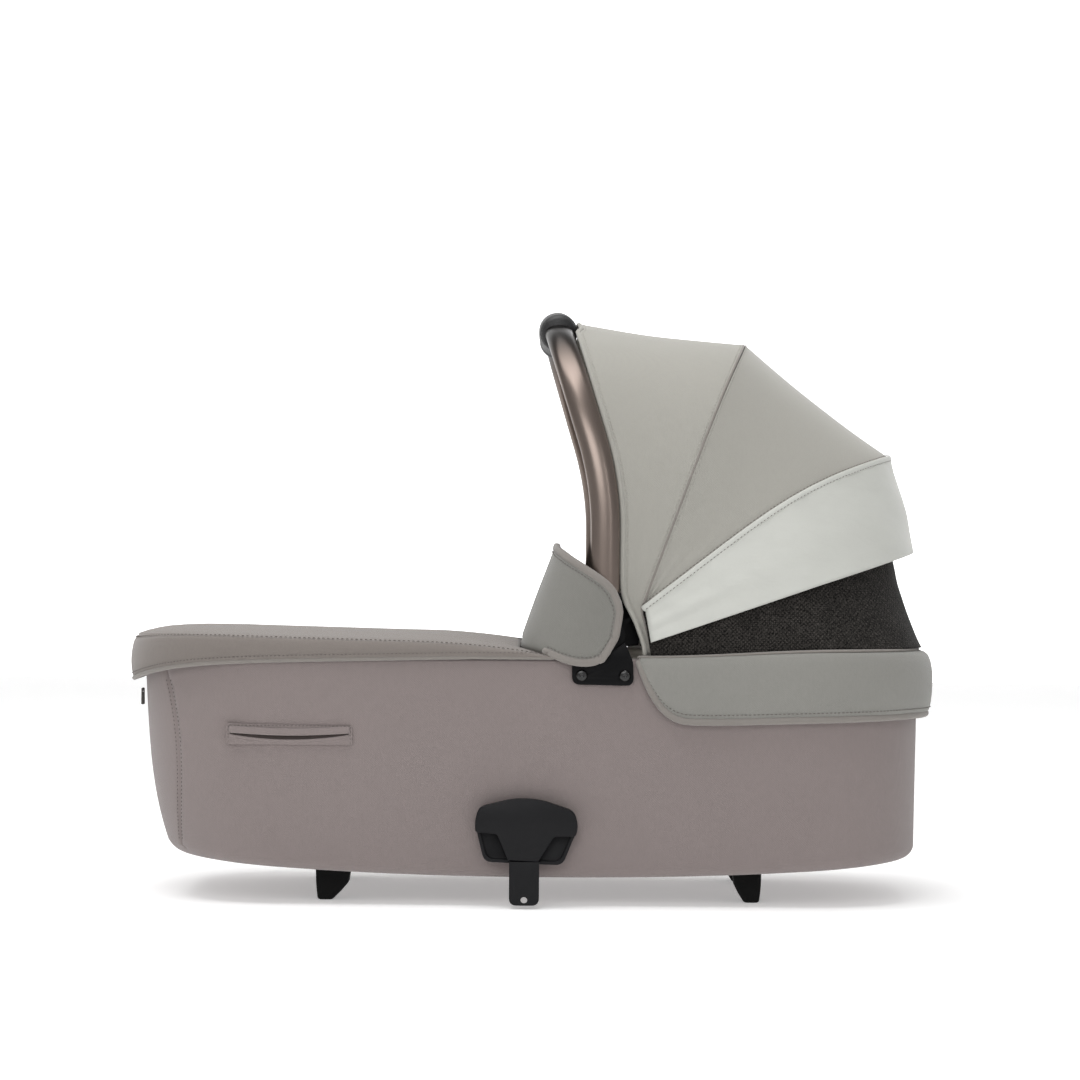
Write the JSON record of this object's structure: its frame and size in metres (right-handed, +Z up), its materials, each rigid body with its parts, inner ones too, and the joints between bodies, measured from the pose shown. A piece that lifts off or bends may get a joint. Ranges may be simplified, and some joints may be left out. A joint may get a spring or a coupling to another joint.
{
  "type": "pram carrycot with folding hood",
  "caption": "Pram carrycot: a covered tub with a mattress, a folding ribbed hood on a carrying handle, an apron, a wind flap and clip-on adapters.",
  "frame": {"origin": "centre of the bounding box's bottom, on the floor that the adapter tongues and feet reach", "axes": "+X to the head end and hood, +Y to the far side, +Z up"},
  "size_m": [0.873, 0.4494, 0.6395],
  "materials": {
    "shell_plastic": "moulded, fine grain",
    "frame_wire": "powder coated",
    "cover_fabric": "melange plain weave, taupe grey",
    "hood_fabric": "melange plain weave, light warm grey",
    "vent_satin": "satin coated ripstop, pale grey",
    "net": "fine black net",
    "lining_fabric": "soft cotton jersey",
    "mattress_fabric": "quilted cotton",
    "rubber": "matte",
    "black_plastic": "moulded, satin",
    "tube_paint": "satin metallic taupe",
    "grip_foam": "black stitched imitation leather",
    "steel": "zinc plated"
  },
  "bodies": {
    "tub": {"tub_shell": "shell_plastic", "rim_frame": "frame_wire", "outer_cover": "cover_fabric", "inner_lining": "lining_fabric", "mattress": "mattress_fabric", "rubber_foot_foot_end_near": "rubber", "rubber_foot_foot_end_far": "rubber", "rubber_foot_head_end_near": "rubber", "rubber_foot_head_end_far": "rubber", "adapter_housing_near": "black_plastic", "adapter_housing_far": "black_plastic", "adapter_tongue_near": "black_plastic", "adapter_tongue_far": "black_plastic", "trigger_spring_near": "steel", "trigger_spring_far": "steel", "hood_bracket_near": "black_plastic", "hood_bracket_far": "black_plastic", "bracket_screw_near_1": "steel", "bracket_screw_near_2": "steel", "bracket_screw_far_1": "steel", "bracket_screw_far_2": "steel", "pivot_pin_near": "steel", "pivot_pin_far": "steel", "pin_cap_near": "black_plastic", "pin_cap_far": "black_plastic", "mesh_window": "net", "hood_skirt": "hood_fabric", "apron_cover": "cover_fabric", "apron_zip_pull": "steel", "pocket_welt_near": "cover_fabric", "pocket_welt_far": "cover_fabric"},
    "rear_rib": {"rear_rib": "black_plastic", "vent_flap": "vent_satin"},
    "front_rib": {"front_rib": "black_plastic", "canopy_rear_panel": "hood_fabric"},
    "handle": {"handle_tube": "tube_paint", "handle_grip": "grip_foam", "hinge_hub_near": "black_plastic", "hinge_hub_far": "black_plastic", "canopy_front_panel": "hood_fabric", "button_spring_near": "steel", "button_spring_far": "steel"},
    "fold_button_near": {"fold_button_near": "black_plastic"},
    "fold_button_far": {"fold_button_far": "black_plastic"},
    "release_trigger_near": {"release_trigger_near": "black_plastic"},
    "release_trigger_far": {"release_trigger_far": "black_plastic"},
    "wind_flap": {"wind_flap": "cover_fabric"}
  },
  "joints": [
    {"name": "hood_fold", "type": "hinge", "parent": "tub", "child": "rear_rib", "pos_m": [0.076, 0, 0.288], "axis": [0, 1, 0], "range_deg": [0, 24], "deforming": ["canopy_front_panel", "canopy_rear_panel", "mesh_window", "vent_flap"]},
    {"name": "front_rib_fold", "type": "hinge", "parent": "rear_rib", "child": "front_rib", "pos_m": [0.076, 0, 0.288], "axis": [0, 1, 0], "range_deg": [0, 22], "deforming": ["canopy_front_panel", "canopy_rear_panel", "mesh_window", "vent_flap"]},
    {"name": "handle_fold", "type": "hinge", "parent": "front_rib", "child": "handle", "pos_m": [0.076, 0, 0.288], "axis": [0, 1, 0], "range_deg": [0, 22], "deforming": ["canopy_front_panel", "canopy_rear_panel", "mesh_window", "vent_flap"]},
    {"name": "wind_flap_fold", "type": "hinge", "parent": "tub", "child": "wind_flap", "pos_m": [-0.014, 0, 0.2825], "axis": [0, 1, 0], "range_deg": [-100, 0]},
    {"name": "fold_button_push_near", "type": "slide", "parent": "handle", "child": "fold_button_near", "axis": [0, -1, 0], "range_m": [0, 0.003], "stiffness_N_per_m": 1500, "springref_m": -0.001, "deforming": ["button_spring_near"]},
    {"name": "release_trigger_pull_near", "type": "slide", "parent": "tub", "child": "release_trigger_near", "axis": [0, 0, 1], "range_m": [0, 0.008], "stiffness_N_per_m": 900, "springref_m": -0.002, "deforming": ["trigger_spring_near"]},
    {"name": "fold_button_push_far", "type": "slide", "parent": "handle", "child": "fold_button_far", "axis": [0, 1, 0], "range_m": [0, 0.003], "stiffness_N_per_m": 1500, "springref_m": -0.001, "deforming": ["button_spring_far"]},
    {"name": "release_trigger_pull_far", "type": "slide", "parent": "tub", "child": "release_trigger_far", "axis": [0, 0, 1], "range_m": [0, 0.008], "stiffness_N_per_m": 900, "springref_m": -0.002, "deforming": ["trigger_spring_far"]}
  ],
  "couplings": [
    {"joint": "front_rib_fold", "follows": "hood_fold", "ratio": 0.9166},
    {"joint": "handle_fold", "follows": "hood_fold", "ratio": 0.9166}
  ]
}
